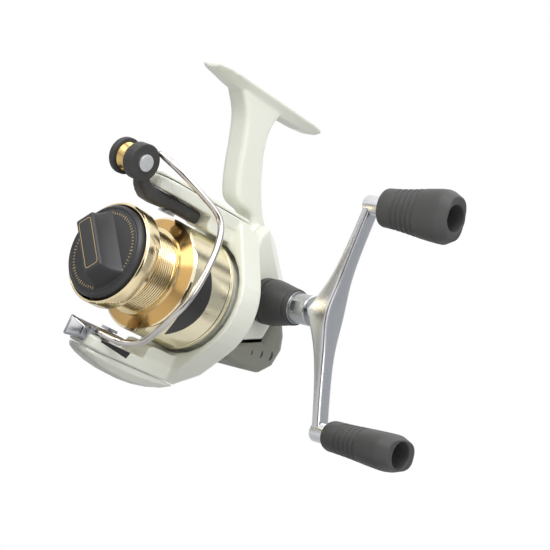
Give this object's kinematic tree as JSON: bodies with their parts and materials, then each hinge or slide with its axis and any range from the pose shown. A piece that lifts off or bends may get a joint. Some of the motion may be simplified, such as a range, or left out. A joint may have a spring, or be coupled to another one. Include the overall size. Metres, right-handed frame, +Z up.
{
  "type": "spinning reel",
  "caption": "Open-face spinning reel with fixed spool, front drag knob, wire bail with line roller, geared rotor and double handle, on a foot for a rod seat.",
  "frame": {"origin": "middle of the foot's top face, where the rod's seat touches it", "axes": "+Z up out of the foot into the rod, -Y towards the spool and the rod's tip, +X the handle's side"},
  "size_m": [0.1121, 0.1049, 0.1173],
  "materials": {
    "pearl_paint": "pearl paint, gloss",
    "warm_grey_plastic": "satin",
    "cream_plastic": "satin",
    "gold": "gold anodised, bright",
    "champagne": "champagne anodised, bright",
    "charcoal_plastic": "satin",
    "black_plastic": "matte",
    "grip_rubber": "matte",
    "bright_metal": "polished",
    "steel": "satin",
    "brass": "machined",
    "drag_felt": "matte"
  },
  "bodies": {
    "frame": {"body_housing": "pearl_paint", "side_cover": "pearl_paint", "tail_cover": "warm_grey_plastic", "one_way_clutch": "steel", "pinion_bearing": "steel", "handle_bearing_left": "steel", "handle_bearing_right": "steel", "left_screw_cap": "bright_metal", "handle_collar": "black_plastic", "oscillation_stud": "steel"},
    "crank": {"drive_gear": "brass", "handle_sleeve": "black_plastic", "handle_shank": "steel", "handle_arm": "bright_metal", "grip_spindle_upper": "steel", "grip_spindle_lower": "steel"},
    "upper_grip": {"grip_upper": "grip_rubber"},
    "lower_grip": {"grip_lower": "grip_rubber"},
    "rotor": {"rotor_frame": "pearl_paint", "arm_cover_upper": "pearl_paint", "arm_cover_lower": "pearl_paint", "rotor_nut": "steel", "bail_screw_upper": "bright_metal", "bail_screw_lower": "bright_metal", "pinion_gear": "brass"},
    "bail": {"bail_lever": "black_plastic", "roller_cap": "black_plastic", "roller_screw": "bright_metal", "roller_bush": "black_plastic", "bail_wire": "bright_metal", "bail_holder": "bright_metal"},
    "roller": {"line_roller": "brass"},
    "shaft": {"main_shaft": "steel", "spool_rest": "black_plastic", "oscillation_slider": "brass", "drag_washer_1": "steel", "drag_washer_3": "steel"},
    "spool": {"spool_bobbin": "champagne", "spool_lip_ring": "gold", "drag_washer_2": "drag_felt", "drag_washer_4": "drag_felt", "drag_retaining_ring": "steel"},
    "knob": {"drag_knob": "charcoal_plastic", "drag_nut": "brass", "drag_spring": "steel"},
    "oscillation": {"oscillation_gear": "brass"},
    "anti_reverse": {"anti_reverse_lever": "cream_plastic"}
  },
  "joints": [
    {"name": "handle_turn", "type": "hinge", "parent": "frame", "child": "crank", "pos_m": [0, 0.024, -0.0699], "axis": [1, 0, 0], "continuous": true},
    {"name": "rotor_spin", "type": "hinge", "parent": "frame", "child": "rotor", "pos_m": [0, 0.004, -0.0784], "axis": [0, 1, 0], "continuous": true},
    {"name": "oscillation_spin", "type": "hinge", "parent": "frame", "child": "oscillation", "pos_m": [0, 0.02806, -0.07901], "axis": [1, 0, 0], "continuous": true},
    {"name": "bail_swing", "type": "hinge", "parent": "rotor", "child": "bail", "pos_m": [0, -0.0295, -0.0784], "axis": [-0.1392, 0, -0.9903], "range_deg": [0, 120]},
    {"name": "roller_spin", "type": "hinge", "parent": "bail", "child": "roller", "pos_m": [0.00268, -0.0526, -0.04606], "axis": [0.9903, 0, -0.1392], "continuous": true},
    {"name": "spool_stroke", "type": "slide", "parent": "frame", "child": "shaft", "axis": [0, 1, 0], "range_m": [0, 0.009]},
    {"name": "drag_slip", "type": "hinge", "parent": "shaft", "child": "spool", "pos_m": [0, -0.034, -0.0784], "axis": [0, 1, 0], "continuous": true},
    {"name": "drag_knob_turn", "type": "hinge", "parent": "shaft", "child": "knob", "pos_m": [0, -0.046, -0.0784], "axis": [0, 1, 0], "range_deg": [-360, 360]},
    {"name": "upper_grip_spin", "type": "hinge", "parent": "crank", "child": "upper_grip", "pos_m": [0, 0.01723, -0.02946], "axis": [1, 0, 0], "continuous": true},
    {"name": "lower_grip_spin", "type": "hinge", "parent": "crank", "child": "lower_grip", "pos_m": [0, 0.03077, -0.11034], "axis": [1, 0, 0], "continuous": true},
    {"name": "anti_reverse_flip", "type": "hinge", "parent": "frame", "child": "anti_reverse", "pos_m": [0, 0.014, -0.092], "axis": [0, 1, 0], "range_deg": [0, 25]}
  ],
  "couplings": [
    {"joint": "rotor_spin", "follows": "handle_turn", "ratio": 4.25},
    {"joint": "oscillation_spin", "follows": "handle_turn", "ratio": -0.75}
  ]
}
